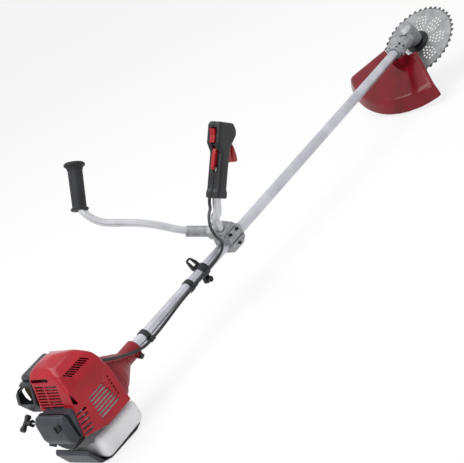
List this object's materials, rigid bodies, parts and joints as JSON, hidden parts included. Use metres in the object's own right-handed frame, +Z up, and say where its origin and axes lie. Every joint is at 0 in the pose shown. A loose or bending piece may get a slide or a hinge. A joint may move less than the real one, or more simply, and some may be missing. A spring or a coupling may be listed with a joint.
{
  "type": "brush cutter",
  "caption": "Petrol brush cutter: two-stroke engine, straight drive shaft, wide handlebar with throttle grip, bevel gear head, toothed steel blade and red guard.",
  "frame": {"origin": "middle of the sole of the engine's stand, on the ground", "axes": "+X forwards along the machine, level with the ground; +Y to the operator's left; +Z up"},
  "size_m": [1.9606, 0.5283, 0.4898],
  "materials": {
    "black_plastic": "black textured plastic",
    "black_rubber": "black moulded rubber",
    "blade_steel": "ground steel plate",
    "brass_bush": "bearing metal",
    "cast_silver": "die-cast aluminium, bead blasted",
    "ceramic": "white spark plug ceramic and steel",
    "dark_steel": "black painted steel",
    "foam": "oiled filter foam",
    "grey_plastic": "dark grey textured plastic",
    "muffler_steel": "heat-darkened pressed steel",
    "red_cast": "red painted casting",
    "red_control": "red moulded plastic control",
    "red_shell": "glossy moulded red plastic",
    "rope": "braided cord",
    "steel": "machined steel",
    "tank_white": "translucent white polyethylene",
    "tube_silver": "anodised aluminium tube"
  },
  "bodies": {
    "machine": {"air_cleaner_base": "black_plastic", "air_cleaner_cover": "grey_plastic", "air_element": "foam", "cable_bands": "black_rubber", "carburettor": "cast_silver", "clamp_lower": "cast_silver", "clamp_middle": "cast_silver", "clamp_yoke": "cast_silver", "clutch_bearing": "steel", "clutch_case": "red_cast", "crankcase": "cast_silver", "cylinder": "cast_silver", "engine_cover": "red_shell", "engine_stand": "grey_plastic", "fan_housing": "red_cast", "fuel_tank": "tank_white", "gear_bearings": "steel", "gear_case": "cast_silver", "gear_head_cap": "cast_silver", "guard": "red_shell", "guard_bolts": "dark_steel", "guard_bracket": "dark_steel", "guard_cap": "grey_plastic", "handlebar": "tube_silver", "hanger": "black_plastic", "ignition_coil": "black_plastic", "insulator": "black_plastic", "left_grip": "black_rubber", "muffler": "muffler_steel", "muffler_guard": "grey_plastic", "plug_boot": "black_rubber", "recoil_housing": "black_plastic", "shaft_bushes": "brass_bush", "shaft_tube": "tube_silver", "spark_plug": "ceramic", "throttle_cable": "black_rubber", "throttle_half_left": "black_plastic", "throttle_half_right": "black_plastic"},
    "crank": {"crankshaft": "steel", "flywheel_fan": "cast_silver", "clutch_shoes": "dark_steel"},
    "drive": {"drive_shaft": "steel", "clutch_drum": "steel", "pinion": "steel"},
    "spindle": {"blade_spindle": "steel", "crown_gear": "steel", "blade_holder": "dark_steel", "blade": "blade_steel", "blade_washer": "steel", "blade_nut": "steel"},
    "reel": {"starter_reel": "black_plastic"},
    "pull": {"starter_rope": "rope", "starter_grip": "black_plastic"},
    "trigger": {"throttle_trigger": "red_control"},
    "lockout": {"lockout_lever": "red_control"},
    "switch": {"stop_switch": "red_control"},
    "tank_cap": {"fuel_cap": "black_plastic"},
    "cleaner_knob": {"air_cleaner_knob": "black_plastic"},
    "case_screw": {"case_screw": "black_plastic"},
    "hanger_screw": {"hanger_knob": "black_plastic"}
  },
  "joints": [
    {"name": "crank_spin", "type": "hinge", "parent": "machine", "child": "crank", "pos_m": [0.05091, 0, 0.10999], "axis": [0.9993, 0, 0.0375], "continuous": true},
    {"name": "shaft_spin", "type": "hinge", "parent": "machine", "child": "drive", "pos_m": [0.12086, 0, 0.11261], "axis": [0.9993, 0, 0.0375], "continuous": true},
    {"name": "blade_spin", "type": "hinge", "parent": "machine", "child": "spindle", "pos_m": [1.73099, 0, 0.13942], "axis": [-0.5321, 0, 0.8467], "continuous": true},
    {"name": "starter_pull", "type": "slide", "parent": "machine", "child": "pull", "axis": [0, 1, 0], "range_m": [0, 0.65], "stiffness_N_per_m": 12, "springref_m": -0.25},
    {"name": "reel_spin", "type": "hinge", "parent": "machine", "child": "reel", "pos_m": [-0.07, 0, 0.10545], "axis": [-0.9993, 0, -0.0375], "range_deg": [0, 2100]},
    {"name": "trigger_squeeze", "type": "hinge", "parent": "machine", "child": "trigger", "pos_m": [0.4946, -0.26053, 0.43182], "axis": [-0.0097, 0.9659, 0.2586], "range_deg": [0, 16], "stiffness_Nm_per_rad": 0.4, "springref_deg": -14.32},
    {"name": "lockout_press", "type": "hinge", "parent": "machine", "child": "lockout", "pos_m": [0.46047, -0.26102, 0.43236], "axis": [0.0097, -0.9659, -0.2586], "range_deg": [0, 7], "stiffness_Nm_per_rad": 0.3, "springref_deg": -14.32},
    {"name": "switch_rock", "type": "hinge", "parent": "machine", "child": "switch", "pos_m": [0.46754, -0.26901, 0.46248], "axis": [-0.0097, 0.9659, 0.2586], "range_deg": [0, 10]},
    {"name": "fuel_cap_turn", "type": "hinge", "parent": "machine", "child": "tank_cap", "pos_m": [-0.05468, 0.06768, 0.0686], "axis": [-0.5244, 0.6017, 0.6025], "range_deg": [0, 360]},
    {"name": "cleaner_knob_turn", "type": "hinge", "parent": "machine", "child": "cleaner_knob", "pos_m": [-0.11843, -0.058, 0.14266], "axis": [-0.9993, 0, -0.0375], "range_deg": [0, 360]},
    {"name": "case_screw_turn", "type": "hinge", "parent": "machine", "child": "case_screw", "pos_m": [0.18682, 0, 0.11509], "axis": [0.0188, -0.866, -0.4997], "range_deg": [0, 360]},
    {"name": "hanger_screw_turn", "type": "hinge", "parent": "machine", "child": "hanger_screw", "pos_m": [0.49154, 0, 0.10151], "axis": [0, -1, 0], "range_deg": [0, 360]}
  ],
  "couplings": [
    {"joint": "shaft_spin", "follows": "blade_spin", "ratio": 1.5833},
    {"joint": "reel_spin", "follows": "starter_pull", "rad_per_m": 55.556}
  ]
}
